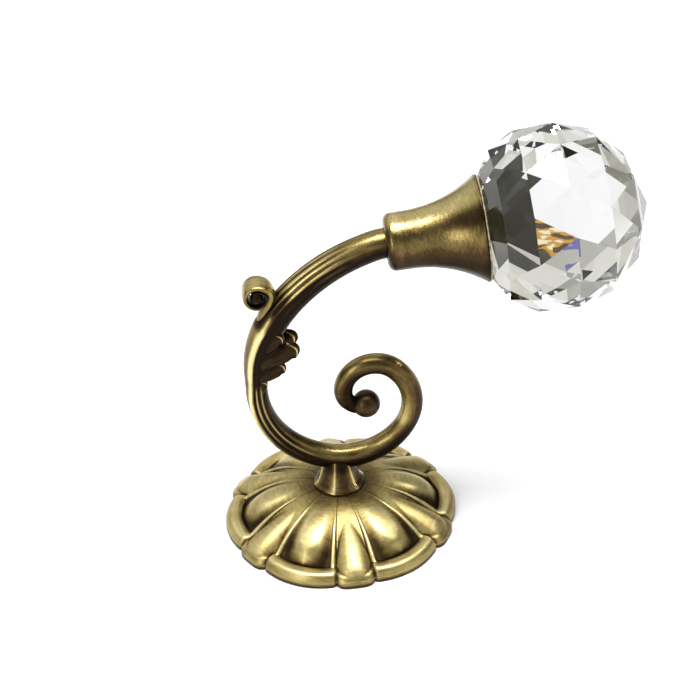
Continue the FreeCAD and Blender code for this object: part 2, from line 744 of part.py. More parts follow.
os.makedirs("parts", exist_ok=True)
for label in NODES:
    node = doc.getObjectsByLabel(label)[0]
    shape = node.Shape
    if shape.isNull() or not shape.isValid():
        raise RuntimeError("bad shape: " + label)
    if len(shape.Solids) != 1:
        raise RuntimeError("not one solid: " + label)
    shape.exportStep("parts/" + label + ".step")
    print(label, "volume", round(shape.Volume, 1))
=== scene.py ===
import math
import bmesh
import bpy
import numpy as np
from mathutils import Matrix


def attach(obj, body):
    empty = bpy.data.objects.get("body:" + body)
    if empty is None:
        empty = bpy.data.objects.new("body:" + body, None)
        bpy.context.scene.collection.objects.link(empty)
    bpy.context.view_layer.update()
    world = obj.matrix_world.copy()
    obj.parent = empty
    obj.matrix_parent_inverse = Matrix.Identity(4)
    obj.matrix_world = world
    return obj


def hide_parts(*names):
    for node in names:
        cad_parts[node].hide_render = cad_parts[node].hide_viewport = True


# A cast brass curtain holdback: rosette, scrolled arm with an acanthus leaf, bell and faceted
# glass ball. Shapes are worked out in millimetres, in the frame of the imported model, and go
# into the meshes in metres. Headings and named angles are in degrees. "turn" runs round a
# shape, in radians, and "share" from 0 to 1 along it.

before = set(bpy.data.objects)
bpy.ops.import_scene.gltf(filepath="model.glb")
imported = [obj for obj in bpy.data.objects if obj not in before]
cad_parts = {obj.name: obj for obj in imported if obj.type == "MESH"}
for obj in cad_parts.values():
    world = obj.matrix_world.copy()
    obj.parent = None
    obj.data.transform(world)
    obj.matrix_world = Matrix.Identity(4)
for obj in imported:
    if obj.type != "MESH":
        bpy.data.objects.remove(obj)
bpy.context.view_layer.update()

MILLIMETRE = 0.001
FULL = 2.0 * math.pi
ACROSS = np.array([0.0, 1.0, 0.0])


# Surfaces

def grid_quads(rows, columns, wrap_rows):
    """Quads between neighbouring rows and columns of a grid whose columns run round."""
    row = np.arange(rows if wrap_rows else rows - 1)[:, None]
    column = np.arange(columns)[None, :]
    next_row = (row + 1) % rows
    next_column = (column + 1) % columns
    corners = [row * columns + column, next_row * columns + column,
               next_row * columns + next_column, row * columns + next_column]
    return np.stack(corners, axis=-1).reshape(-1, 4)


def grid_points(x, y, z):
    """Points from three coordinates, each spread over the whole grid."""
    return np.stack(np.broadcast_arrays(x, y, z), axis=-1)


def round_turn(columns):
    """Turns of the columns of a grid that runs round."""
    return np.linspace(0.0, FULL, columns, endpoint=False)[None, :]


def section_rows(section):
    """Rows of reach and height from a section's list of (reach, height)."""
    return tuple(np.array(section).T[:, :, None])


def blurred(field, passes):
    """The field after a number of passes of a one, two, one average down and round."""
    for _ in range(passes):
        longer = np.concatenate([field[:1], field, field[-1:]])
        field = (longer[:-2] + 2.0 * field + longer[2:]) / 4.0
        field = (np.roll(field, 1, 1) + 2.0 * field + np.roll(field, -1, 1)) / 4.0
    return field


def add_object(name, data):
    """A new object in the scene."""
    made = bpy.data.objects.new(name, data)
    bpy.context.scene.collection.objects.link(made)
    return made


def casting(name, sheets, material, replaced=None):
    """A closed smooth mesh from grids of points.

    Each sheet is (points, wrap_rows, darkness, brush): points in millimetres, whether the last
    row joins the first, darkness from -1 for a painted highlight, partly wear on ridges, to 1
    for painted shade, partly lacquer in recesses, and brush, the point of a noise field that
    is stretched along the brush marks. Rows that shrink to a point are welded."""
    places, faces, painted_light_and_patina_rows, brushes = [], [], [], []
    start = 0
    for points, wrap_rows, hollow, brush in sheets:
        rows, columns = points.shape[:2]
        places.append(points.reshape(-1, 3) * MILLIMETRE)
        faces.append(grid_quads(rows, columns, wrap_rows) + start)
        painted_light_and_patina_rows.append(np.broadcast_to(hollow, (rows, columns)).reshape(-1))
        brushes.append(np.broadcast_to(brush, (rows, columns, 3)).reshape(-1, 3))
        start += rows * columns
    mesh = bpy.data.meshes.new(name)
    mesh.from_pydata(np.concatenate(places).tolist(), [], np.concatenate(faces).tolist())
    # Each point's darkness: painted shade and painted highlights, partly lacquer and wear.
    painted_light_and_patina_layer = mesh.attributes.new("hollow", "FLOAT", "POINT")
    painted_light_and_patina_layer.data.foreach_set("value", np.concatenate(painted_light_and_patina_rows).astype(np.float32))
    brush_data = mesh.attributes.new("brush", "FLOAT_VECTOR", "POINT")
    brush_data.data.foreach_set("vector", np.concatenate(brushes).astype(np.float32).ravel())
    shell = bmesh.new()
    shell.from_mesh(mesh)
    bmesh.ops.remove_doubles(shell, verts=shell.verts, dist=0.002 * MILLIMETRE)
    bmesh.ops.dissolve_degenerate(shell, edges=shell.edges, dist=0.0005 * MILLIMETRE)
    bmesh.ops.recalc_face_normals(shell, faces=shell.faces)
    shell.to_mesh(mesh)
    shell.free()
    mesh.polygons.foreach_set("use_smooth", np.ones(len(mesh.polygons), bool))
    mesh.materials.append(material)
    piece = add_object(name, mesh)
    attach(piece, "root")
    if replaced:
        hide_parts(replaced)


def step_between(low, high, value):
    """Smooth step from 0 at low to 1 at high."""
    share = np.clip((value - low) / (high - low), 0.0, 1.0)
    return share * share * (3.0 - 2.0 * share)


def window(rise_from, rise_to, fall_from, fall_to, value):
    """Smooth step up to 1, then down to 0 again."""
    return step_between(rise_from, rise_to, value) * (1.0 - step_between(fall_from, fall_to, value))


def hump(value, width):
    """Bell curve: e to the minus square of the value over the width."""
    return np.exp(-(value / width) ** 2)


def soft_max(first, second, rounding):
    """The larger of two heights, with the crease between them rounded."""
    return 0.5 * (first + second + np.sqrt((first - second) ** 2 + rounding ** 2))


# Materials

class Value:
    """A number socket that can be added, multiplied and so on."""

    def __init__(self, finish, socket):
        self.finish = finish
        self.socket = socket

    def _with(self, operation, first, second):
        return Value(self.finish, self.finish.node(
            "ShaderNodeMath", {"operation": operation}, {0: first, 1: second}).outputs[0])

    def __add__(self, other):
        return self._with("ADD", self, other)

    __radd__ = __add__

    def __mul__(self, other):
        return self._with("MULTIPLY", self, other)

    __rmul__ = __mul__

    def __sub__(self, other):
        return self._with("SUBTRACT", self, other)

    def __rsub__(self, other):
        return self._with("SUBTRACT", other, self)

    def clipped(self):
        """The value kept between 0 and 1."""
        return self._with("MINIMUM", self._with("MAXIMUM", self, 0.0), 1.0)


class Finish:
    """A material or a world, and the nodes it is made of."""

    def __init__(self, owner):
        self.owner = owner
        owner.use_nodes = True
        self.tree = owner.node_tree
        self.tree.nodes.clear()

    def node(self, kind, settings=None, sockets=None):
        """Add a node, set its settings, then give its sockets values or links."""
        made = self.tree.nodes.new(kind)
        for key, value in (settings or {}).items():
            if key == "stops":
                ramp = made.color_ramp
                while len(ramp.elements) < len(value):
                    ramp.elements.new(0.5)
                for element, (position, colour) in zip(ramp.elements, value):
                    element.position = position
                    element.color = (*colour, 1.0)
            else:
                setattr(made, key, value)
        for key, value in (sockets or {}).items():
            if isinstance(value, Value):
                value = value.socket
            if isinstance(value, bpy.types.NodeSocket):
                self.tree.links.new(value, made.inputs[key])
            else:
                made.inputs[key].default_value = value
        return made

    def attribute(self, name, output):
        """A mesh attribute as a number or a vector."""
        return self.node("ShaderNodeAttribute", {"attribute_name": name}).outputs[output]

    def noise(self, place, scale, detail=3.0, roughness=0.55):
        """Noise from about 0 to 1 over a place vector."""
        made = self.node("ShaderNodeTexNoise", None, {
            "Vector": place, "Scale": scale, "Detail": detail, "Roughness": roughness})
        return Value(self, made.outputs["Fac"])

    def object_place(self):
        """Object coordinates, in metres."""
        return self.node("ShaderNodeTexCoord").outputs["Object"]

    def surface(self, **sockets):
        """The material's one shader."""
        named = {key.replace("_", " "): value for key, value in sockets.items()}
        shader = self.node("ShaderNodeBsdfPrincipled", None, named)
        self.node("ShaderNodeOutputMaterial", None, {"Surface": shader.outputs[0]})
        return self.owner

    def bump(self, height, strength, depth):
        """The normal of a surface raised by a height field, its depth in metres."""
        return self.node("ShaderNodeBump", None, {
            "Height": height, "Strength": strength, "Distance": depth}).outputs["Normal"]

    def ramp(self, stops, share):
        """The colour at a share of a ramp."""
        return self.node("ShaderNodeValToRGB", {"stops": stops}, {"Fac": share}).outputs["Color"]


def new_finish(name):
    """A fresh material's finish."""
    return Finish(bpy.data.materials.new(name))


ANTIQUE_STOPS = [
    (0.0, (0.010, 0.006, 0.003)),
    (0.28, (0.052, 0.031, 0.012)),
    (0.50, (0.175, 0.126, 0.043)),
    (0.72, (0.375, 0.298, 0.115)),
    (1.0, (0.670, 0.575, 0.290)),
]


def antique_brass(name, level, pits=0.0, satin=0.19):
    """Brass made darker or lighter by each point's darkness: painted shade and painted
    highlights, partly dark lacquer left in the recesses and wear rubbed bright on the ridges.

    level is the tone of a plain place, from 0 for lacquer to 1 for bare brass, pits the depth
    of casting pits and satin the roughness of a plain place."""
    finish = new_finish(name)
    hollow = Value(finish, finish.attribute("hollow", "Fac"))
    brush = finish.attribute("brush", "Vector")
    place = finish.object_place()
    streaks = finish.noise(brush, 5.0, 4.0, 0.65)
    cloud = finish.noise(place, 150.0, 3.0)
    # The darkness paints shade and highlights into the colour.
    tone = level - hollow * 0.56 + (streaks - 0.5) * 0.42 + (cloud - 0.5) * 0.34
    grain = finish.noise(brush, 14.0, 2.0)
    height = grain * 0.6 + streaks * 0.4
    if pits:
        spots = finish.node("ShaderNodeTexVoronoi", {"feature": "F1"}, {
            "Vector": place, "Scale": 1400.0})
        height = height + Value(finish, spots.outputs["Distance"]) * pits
    return finish.surface(
        Base_Color=finish.ramp(ANTIQUE_STOPS, tone.clipped()), Metallic=0.96,
        Roughness=satin + streaks * 0.15 + hollow.clipped() * 0.15,
        Normal=finish.bump(height, 0.22, 0.12 * MILLIMETRE))


def turned_steel(name):
    """Plain steel with fine turning marks."""
    finish = new_finish(name)
    marks = finish.noise(finish.object_place(), 900.0, 2.0)
    colour = finish.ramp([(0.0, (0.42, 0.42, 0.43)), (1.0, (0.66, 0.66, 0.67))], marks)
    return finish.surface(
        Base_Color=colour, Metallic=1.0, Roughness=0.32,
        Normal=finish.bump(marks, 0.15, 0.05 * MILLIMETRE))


def cut_glass(name):
    """Clear polished glass with the faintest waviness on its facets."""
    finish = new_finish(name)
    wave = finish.noise(finish.object_place(), 60.0, 1.0)
    return finish.surface(
        Base_Color=(0.985, 0.99, 0.995, 1.0), Transmission_Weight=1.0, IOR=1.52,
        Roughness=0.0, Normal=finish.bump(wave, 0.03, 0.1 * MILLIMETRE))


def cured_glue(name):
    """Clear glue, dulled by dust and small bubbles."""
    finish = new_finish(name)
    bubbles = finish.noise(finish.object_place(), 900.0, 3.0)
    colour = finish.ramp([(0.35, (0.13, 0.09, 0.035)), (0.65, (0.62, 0.54, 0.34))], bubbles)
    return finish.surface(
        Base_Color=colour, Roughness=0.35, Normal=finish.bump(bubbles, 0.5, 0.2 * MILLIMETRE))


rosette_brass = antique_brass("RosetteBrass", 0.70, satin=0.34)
arm_brass = antique_brass("ArmBrass", 0.56)
bell_brass = antique_brass("BellBrass", 0.50, pits=1.0)
steel = turned_steel("TurnedSteel")
glass = cut_glass("CutGlass")
glue = cured_glue("CuredGlue")


# Rosette

ROSETTE_RADIUS = 32.45
ROSETTE_HEIGHT = 12.1
ROSETTE_SEAT = 7.6
ROSETTE_BORE = 4.9
DOME_DROP = 8.2
RIB_FIRST = 32.0
RIB_PITCH = 60.0
RIB_COUNT = 6
RIB_START = 5.2
RIB_END = 27.3
RIB_HALF_START = 1.9
RIB_HALF = 5.15
RIB_DROP = 5.9
RIB_ROUND_FROM = 28.4
RIB_ROUND_LENGTH = 4.0
RIB_ROUND_DROP = 2.8
RIB_REACH = 32.0
NOSE_RADIUS = 32.3
NOTCH_DEPTH = 0.9
NOTCH_ANGLE = 10.2
PETAL_HALF = 16.6
PETAL_END = 28.7
PETAL_BULGE = 1.55
BEAD_ANGLE = 12.3
BEAD_HEIGHT = 0.66
RIM_INSET = 2.35
RIM_TOP = 4.0
RIM_RISE = 3.1
TRENCH_RADIUS = 27.1
FOOT_INNER = 26.3
BOSS_RADIUS = 7.4
HOLLOW_ROOF = 9.9
NOWHERE = -5.0


def dome_height(radius):
    """Parabola from the stem's seat down to the trench: level on the seat, then the full
    height less the dome's drop times the squared share of the way."""
    share = np.clip(radius - ROSETTE_SEAT, 0.0, None) / (TRENCH_RADIUS - ROSETTE_SEAT)
    return ROSETTE_HEIGHT - DOME_DROP * share ** 2


def rosette_edge(from_rib):
    """Outline radius against the angle from a rib's middle, in degrees: at the rib a blunt
    nose, that draws back with the fourth power of the way across, and on the petal a shallow
    parabola, with a smooth notch where they meet. The larger of the two counts at the rib."""
    slant = np.radians(from_rib)
    across = RIB_REACH * np.sin(slant)
    nose = (NOSE_RADIUS - 1.5 * (across / RIB_HALF) ** 4) / np.cos(slant)
    petal = ROSETTE_RADIUS - 1.15 * ((RIB_PITCH / 2.0 - from_rib) / 20.0) ** 2
    notch = 1.0 - step_between(NOTCH_ANGLE - 1.4, NOTCH_ANGLE + 1.4, from_rib)
    petal = petal - NOTCH_DEPTH * notch
    return np.where(across < RIB_HALF, np.maximum(nose, petal), petal)


def rosette_top(radius, from_rib, edge):
    """Height of the rosette's face: the highest of rib, bead, rim and petal.

    The rib is half an ellipse across, widens outwards and rounds off at its end. The petal is
    a pillow with a tongue-shaped border, the rounded smaller of its distances to rim and bead,
    outside which it falls to a trench. The bead is a thin round line along the petal's side
    and the rim a broad one along the edge. A form counts as far down where it isn't."""
    slant = np.radians(from_rib)
    across = radius * np.sin(slant)
    along = radius * np.cos(slant)
    dome = dome_height(radius)
    outward = step_between(8.5, 25.0, radius)

    share = np.clip((along - RIB_START) / (RIB_END - RIB_START), 0.0, 1.3)
    half = np.minimum(RIB_HALF_START + (RIB_HALF - RIB_HALF_START) * share, RIB_HALF)
    crest = ROSETTE_HEIGHT - 0.05 - RIB_DROP * share ** 1.75
    over = np.clip((along - RIB_ROUND_FROM) / RIB_ROUND_LENGTH, 0.0, 1.0)
    crest = crest - RIB_ROUND_DROP * (1.0 - np.sqrt(1.0 - over ** 2))
    bow = np.sqrt(np.clip(1.0 - (across / half) ** 2, 0.0, None))
    rib = crest - 0.92 * half * (1.0 - bow)
    rib = np.where(across < half, rib, NOWHERE)

    from_middle = RIB_PITCH / 2.0 - from_rib
    side = radius * np.sin(np.radians(from_middle))
    room = radius * math.sin(math.radians(PETAL_HALF))
    to_rim = PETAL_END - radius
    to_bead = room - side
    inside = 0.5 * (to_rim + to_bead - np.sqrt((to_rim - to_bead) ** 2 + (5.0 * outward) ** 2))
    wall = step_between(-0.6, 2.6, inside)
    bulge = PETAL_BULGE * outward * (1.0 - np.clip(side / room, 0.0, 1.2) ** 2)
    deep = (0.25 + 0.60 * step_between(19.0, 27.0, radius)) * outward
    beside = 0.35 * outward * step_between(16.0, 18.6, from_middle)
    petal = np.maximum(dome + bulge * wall - deep * (1.0 - wall) - beside, 2.0)

    bead_half = 0.30 + 0.34 * outward
    bead_across = radius * np.radians(from_rib - BEAD_ANGLE) / bead_half
    bead_round = np.sqrt(np.clip(1.0 - bead_across ** 2, 0.0, None))
    bead = dome - 0.30 * outward - 0.1 + BEAD_HEIGHT * outward * bead_round
    bead = np.where((np.abs(bead_across) < 1.0) & (radius < edge - 1.5), bead, NOWHERE)

    outer_side = radius > edge - RIM_INSET
    rim_across = (radius - (edge - RIM_INSET)) / np.where(outer_side, RIM_INSET + 0.02, 2.3)
    rim_round = np.sqrt(np.clip(1.0 - np.abs(rim_across) ** 2.3, 0.0, None))
    rim = RIM_TOP - np.where(outer_side, RIM_RISE, 1.0) * (1.0 - rim_round)
    rim = np.where(np.abs(rim_across) < 1.0, rim, NOWHERE)
    rim = rim - 0.6 * (1.0 - step_between(9.0, 11.6, from_rib))

    height = soft_max(petal, bead, 0.10)
    height = soft_max(height, rim, 0.45)
    height = soft_max(height, rib, 0.10)
    return np.maximum(height, 0.5)


def rosette_dark(height, radius, from_rib, edge):
    """Darkness of the face, mostly painted shade: what lies lower than its surroundings, broadly
    and finely, partly lacquer in the recesses, with painted highlights where it lies higher, but
    not on the rim; painted shade at the petal's low end, in the groove beside the rib, in the
    notch and round the stem."""
    dark = (blurred(height, 40) - height) * 0.75
    dark += (blurred(height, 6) - height) * 4.5
    dark = np.clip(dark, -0.45, 0.85) * (1.0 - step_between(-1.7, -0.6, radius - edge))
    dark += 0.40 * window(21.0, 27.5, 28.3, 29.3, radius) * step_between(13.0, 16.0, from_rib)
    dark += 0.30 * hump(from_rib - 10.6, 1.3) * (1.0 - step_between(26.0, 30.0, radius))
    dark += 0.80 * hump(from_rib - 9.9, 0.8) * step_between(-4.0, -1.5, radius - edge)
    dark += 0.60 * (1.0 - step_between(7.0, 15.0, radius))
    return dark


def make_rosette():
    """The rosette as one closed skin round its ring section: face, edge, foot, the cavity under
    it, boss and bore, with the angle on the columns. Columns crowd at the ribs and beads."""
    sector = np.linspace(0.0, 1.0, 90, endpoint=False)
    spread = np.interp(sector, [0.0, 0.36, 0.5, 0.64, 1.0], [0.0, 15.0, 30.0, 45.0, 60.0])
    degrees = (RIB_FIRST + np.arange(RIB_COUNT)[:, None] * RIB_PITCH + spread).reshape(1, -1)
    from_rib = np.abs((degrees - RIB_FIRST + RIB_PITCH / 2.0) % RIB_PITCH - RIB_PITCH / 2.0)
    edge = rosette_edge(from_rib)
    share = np.linspace(0.0, 1.0, 125)[:, None] ** 0.85
    radius = ROSETTE_BORE + (edge - ROSETTE_BORE) * share
    height = rosette_top(radius, from_rib, edge)
    dark = rosette_dark(height, radius, from_rib, edge)
    # Painted shade along the face's outer edge.
    dark += 0.10 * step_between(0.985, 1.0, share)

    def ring(reach, up):
        """One row of the back of the casting."""
        return np.broadcast_to(reach, edge.shape), np.broadcast_to(up, edge.shape)

    lip = height[-1:, :]
    rows = [ring(edge, lip * level) for level in (0.75, 0.45, 0.12)]
    rows += [ring(edge - 0.12, 0.03), ring(edge - 0.35, 0.0), ring((edge + FOOT_INNER) / 2.0, 0.0),
             ring(FOOT_INNER + 0.2, 0.0), ring(FOOT_INNER, 0.1)]
    for bow in np.linspace(0.04, 1.0, 22):
        reach = FOOT_INNER + (BOSS_RADIUS + 0.5 - FOOT_INNER) * bow
        rows.append(ring(reach, HOLLOW_ROOF * (1.0 - (1.0 - bow) ** 1.9)))
    rows += [ring(BOSS_RADIUS, up) for up in (9.3, 6.0, 3.0, 0.25)]
    rows += [ring(BOSS_RADIUS - 0.25, 0.0), ring(BOSS_RADIUS - 1.2, 0.0), ring(ROSETTE_BORE + 0.1, 0.0)]
    rows += [ring(ROSETTE_BORE, up) for up in (0.1, 6.0, 11.5)]
    reach = np.concatenate([radius] + [row[0] for row in rows])
    up = np.concatenate([height] + [row[1] for row in rows])
    # The back painted dark, the outer wall darkest at the bottom: painted shade.
    back_dark = np.full((len(rows), degrees.size), 0.45)
    back_dark[:3] = [[0.15], [0.60], [1.0]]
    turn = np.radians(degrees)
    points = grid_points(reach * np.cos(turn), reach * np.sin(turn), up)
    brush = grid_points(reach * 0.28, np.cos(turn) * 1.2 + up * 0.12, np.sin(turn) * 1.2)
    casting("rosette_casting", [(points, True, np.concatenate([dark, back_dark]), brush)],
            rosette_brass, "base_rosette")


make_rosette()


# Arm: centre line

def direction(heading):
    """Unit vectors in the arm's plane at angles from +X towards +Z, in degrees."""
    angle = np.radians(heading)
    return grid_points(np.cos(angle), 0.0, np.sin(angle))


def lengths_along(line):
    """Length of a line of points up to each of them."""
    return np.concatenate([[0.0], np.cumsum(np.linalg.norm(np.diff(line, axis=0), axis=1))])


def ahead_along(line):
    """Unit vectors ahead at each point of a line."""
    step = np.gradient(line, axis=0)
    return step / np.linalg.norm(step, axis=1)[:, None]


def arcs(start, heading, turn, rod, legs, step=0.35):
    """Points, headings and rod radii along tangent arcs of (radius, sweep, rod radius at the
    end); a sweep of 0 is a straight run as long as the radius."""
    point = np.array(start, float)
    points, headings, rods = [point[None]], [np.array([heading])], [np.array([rod])]
    for radius, sweep, rod_end in legs:
        length = radius * math.radians(sweep) if sweep else radius
        share = np.arange(1, int(length / step) + 2) / (int(length / step) + 1)
        now = heading + turn * sweep * share
        if sweep:
            centre = point + radius * direction(heading + turn * 90.0)
            line = centre - radius * direction(now + turn * 90.0)
        else:
            line = point + radius * share[:, None] * direction(heading)
        points.append(line)
        headings.append(now)
        rods.append(rod + (rod_end - rod) * share)
        point, heading, rod = line[-1], now[-1], rod_end
    return np.concatenate(points), np.concatenate(headings), np.concatenate(rods)


# Legs of the centre line, both ways from the scroll's lowest point above the stem.
LOWEST = (2.6, 0.0, 20.9)
LOWEST_ROD = 3.4
LEAF_ROD = 3.0
END_ROD = 4.05
LEAF_ARC = 31.0
LEAF_SWEEP = 30.0
REACH_ARC = 50.0
SOCKET_DEPTH = 1.4
TO_CURL = [(19.3, 60.0, 3.0), (15.0, 75.0, 3.0), (8.4, 135.0, 2.6), (5.7, 50.0, 2.2), (3.3, 80.0, 2.2)]
TO_LEAF = [(19.3, 20.0, 3.4), (25.5, 70.0, 3.0), (4.0, 0.0, LEAF_ROD)]
TO_BELL = [(LEAF_ARC, LEAF_SWEEP, 4.3), (REACH_ARC, 44.0, END_ROD), (14.0, 12.0, END_ROD)]

curl_line, curl_headings, curl_rod = arcs(LOWEST, 0.0, 1, LOWEST_ROD, TO_CURL)
leaf_line, leaf_headings, leaf_rod = arcs(LOWEST, 180.0, -1, LOWEST_ROD, TO_LEAF)
LEAF_START = leaf_line[-1]
LEAF_HEADING = float(leaf_headings[-1])
bell_line, bell_headings, bell_rod = arcs(LEAF_START, LEAF_HEADING, -1, LEAF_ROD, TO_BELL)
BELL_POINT = bell_line[-1]
BELL_HEADING = float(bell_headings[-1])
socket_line, socket_headings, socket_rod = arcs(
    BELL_POINT, BELL_HEADING, -1, END_ROD, [(SOCKET_DEPTH, 0.0, END_ROD)])
leaf_centre = LEAF_START + LEAF_ARC * direction(LEAF_HEADING - 90.0)

# The whole line from the curl's end to the end in the bell.
centre_line = np.concatenate([curl_line[::-1], leaf_line[1:], bell_line[1:], socket_line[1:]])
past_headings = np.concatenate([leaf_headings[1:], bell_headings[1:], socket_headings[1:]])
centre_heading = np.concatenate([curl_headings[::-1] - 180.0, past_headings - 360.0])
centre_rod = np.concatenate([curl_rod[::-1], leaf_rod[1:], bell_rod[1:], socket_rod[1:]])
run = lengths_along(centre_line)
AT_LEAF = run[len(curl_line) + len(leaf_line) - 2]
AT_END = run[-1]


def ball_sheet(centre, radius, dark):
    """A small ball from its pole angle and turn, its poles across the arm's plane."""
    pole = np.linspace(0.0, math.pi, 28)[:, None]
    turn = round_turn(44)
    unit = grid_points(np.sin(pole) * np.cos(turn), np.cos(pole), np.sin(pole) * np.sin(turn))
    return np.asarray(centre) + radius * unit, False, dark, unit * 1.2


def arm_rod_sheet():
    """The rod with its ridge, veins and flutes, carried round along the centre line.

    The radius is the rod's own, plus a ridge on the outer side that starts at the neck of the
    leaf and fades before the lowest point, a groove each side of it, two veins beyond, and
    flutes on the upper side just past the leaf. Turn 0 is the outer side of the curve."""
    turn = np.linspace(-math.pi, math.pi, 132, endpoint=False)[None, :]
    degrees = np.degrees(np.abs(turn))
    along = run[:, None]
    past_leaf = along - AT_LEAF
    ridge = window(-24.0, -19.0, 24.0, 44.0, -past_leaf)
    ridge_at = 58.0 - 16.0 * step_between(-2.0, 14.0, -past_leaf)
    veins = window(-2.0, 4.0, 20.0, 38.0, -past_leaf)
    flutes = window(20.0, 26.0, 38.0, 52.0, past_leaf)
    radius = centre_rod[:, None] + ridge * (
        0.30 * hump(degrees - ridge_at, 13.0) - 0.34 * hump(degrees - ridge_at - 24.0, 8.0))
    radius = radius + veins * (
        0.20 * hump(degrees - 84.0, 7.0) - 0.22 * hump(degrees - 98.0, 6.0)
        + 0.14 * hump(degrees - 111.0, 7.0) - 0.18 * hump(degrees - 127.0, 7.0))
    radius = radius + flutes * 0.13 * np.cos(turn * 16.0) * (1.0 - step_between(95.0, 130.0, degrees))

    # Painted shade in recesses, partly lacquer there, on undersides and on the scroll's
    #     # lower front.
    outward = direction(centre_heading + 90.0)[:, None, :]
    outer_down = -outward[..., 2]
    down = outer_down * np.cos(turn)
    dark = np.clip((blurred(radius, 14) - radius) * 5.0, -0.6, 1.0)
    dark = dark + 0.74 * step_between(-0.7, 0.5, down)
    dark = dark + 0.75 * step_between(0.3, 0.9, outer_down) * step_between(-0.6, 0.1, down)
    # Painted shade on the rod's side at the veins, with painted highlights on the vein crests;
    #     # past the leaf painted shade beside its ridge, then on the ridge's line.
    dark = dark + veins * (
        0.45 * step_between(58.0, 68.0, degrees) - 0.55 * hump(degrees - 84.0, 5.0)
        - 0.45 * hump(degrees - 111.0, 5.0))
    beside_ridge = step_between(ridge_at + 12.0, ridge_at + 20.0, degrees)
    dark = dark + 0.85 * window(-3.0, 1.0, 30.0, 42.0, past_leaf) * beside_ridge
    dark = dark + 0.90 * window(15.0, 19.0, 25.0, 32.0, past_leaf) * (1.0 - beside_ridge)
    # Painted shade in the curl's inner turn; two places after it, a painted highlight on the
    #     # inner side and painted shade on the outer side; painted shade on the upper arm from its
    #     # side round to its inner side. The ridge itself gets a painted highlight.
    dark = dark + 0.60 * (1.0 - step_between(10.0, 24.0, along)) * step_between(50.0, 110.0, degrees)
    dark = dark - 0.60 * window(26.0, 34.0, 46.0, 54.0, along) * hump(degrees - 128.0, 30.0)
    dark = dark + 0.30 * window(14.0, 26.0, 44.0, 54.0, along) * hump(degrees - 45.0, 30.0)
    dark = dark + 0.50 * step_between(26.0, 34.0, past_leaf) * step_between(62.0, 88.0, degrees)
    dark = dark - 1.05 * ridge * hump(degrees - ridge_at, 15.0)

    cap = np.clip(np.minimum(along, AT_END - along) / 0.8, 0.0, 1.0)
    radius = radius * np.sqrt(1.0 - (1.0 - cap) ** 2)
    out = radius * np.cos(turn)
    side = radius * np.sin(turn)
    points = centre_line[:, None, :] + out[..., None] * outward + side[..., None] * ACROSS
    return points, False, dark, grid_points(out * 0.5, side * 0.5, along * 0.05)


CONE_TOP = 20.9
CONE_FOOT = 14.0
CONE_NARROW = 3.7
CONE_SPREAD = 2.25
CONE_EDGES = 6
CONE_EDGE_TURN = math.radians(252.0)
THREAD_LENGTH = 15.8
THREAD_PITCH = 1.0
THREAD_ROOT = 3.0
THREAD_DEPTH = 0.5
FLANGE_FROM = 6.0


def stem_sheet():
    """Flange, concave-sided cone and spigot with its tapped hole, turned about Z: rows follow
    the section from the scroll down, round the spigot's end and up the thread. The cone has
    six blunt edges, with painted highlights along them and painted reflection strips between.
    The thread's radius is a triangle wave of height plus turn."""
    turn = round_turn(96)
    cone_up = np.linspace(CONE_TOP, CONE_FOOT, 26)
    cone_out = CONE_NARROW + CONE_SPREAD * ((CONE_TOP - cone_up) / (CONE_TOP - CONE_FOOT)) ** 1.1
    flange = [(6.05, 13.93), (6.95, 13.1), (7.1, 12.95), (7.15, 12.75), (7.15, 12.35), (7.1, 12.15),
              (6.9, 12.1)]
    spigot = [(4.85, 12.1), (4.8, 12.0), (4.8, 6.0), (4.8, 0.3), (4.6, 0.05), (4.4, 0.0), (3.0, 0.0)]
    reach, up = section_rows([(0.0, 21.6), (2.4, 21.4), *zip(cone_out, cone_up), *flange, *spigot])
    on_cone = (up > 12.5) & (reach > 3.6)
    edge = np.cos(CONE_EDGES * (turn - CONE_EDGE_TURN))
    reach = reach * (1.0 + 0.018 * (edge - 1.0) * on_cone)
    on_flange = reach > FLANGE_FROM
    # Painted light: shade low on the flange and a highlight on its chamfer, shade at the cone's top under
    # the scroll, highlights on the cone's edges and reflection strips between.
    dark = 0.2 + 0.45 * hump(up - 12.3, 0.35) * on_flange - 0.60 * hump(up - 13.5, 0.4) * on_flange
    dark = dark + 0.5 * step_between(16.5, 19.5, up)
    dark = dark + (0.40 * (0.5 - 0.5 * edge) - hump(edge - 1.05, 0.12)) * on_cone

    thread_up = np.linspace(0.0, THREAD_LENGTH, 130)[:, None]
    wave = np.abs(2.0 * ((thread_up / THREAD_PITCH + turn / FULL) % 1.0) - 1.0)
    fade = step_between(0.0, 0.8, thread_up)
    thread_out = THREAD_ROOT - THREAD_DEPTH + THREAD_DEPTH * wave * fade + 0.45 * (1.0 - fade)
    end_out, end_up = section_rows([(2.0, 16.2), (0.0, 16.6)])
    reach = np.concatenate([reach, thread_out, end_out + 0.0 * turn])
    up = np.concatenate([up, thread_up, end_up])
    dark = np.concatenate([dark, np.full_like(reach[len(dark):], 0.55)])
    points = grid_points(reach * np.cos(turn), reach * np.sin(turn), up)
    return points, False, dark, grid_points(np.cos(turn) * 2.4, np.sin(turn) * 2.4, up * 0.12)


# Leaf

def beside_leaf(along, inwards, out):
    """Points beside the arm, in millimetres along the leaf's arc, inwards and out of plane."""
    along, inwards, out = np.broadcast_arrays(np.asarray(along, float), inwards, out)
    heading = LEAF_HEADING - np.degrees(np.clip(along, 0.0, None) / LEAF_ARC)
    place = leaf_centre + direction(heading + 90.0) * (LEAF_ARC - inwards)[..., None]
    place = place + direction(LEAF_HEADING) * np.minimum(along, 0.0)[..., None]
    return place + out[..., None] * ACROSS


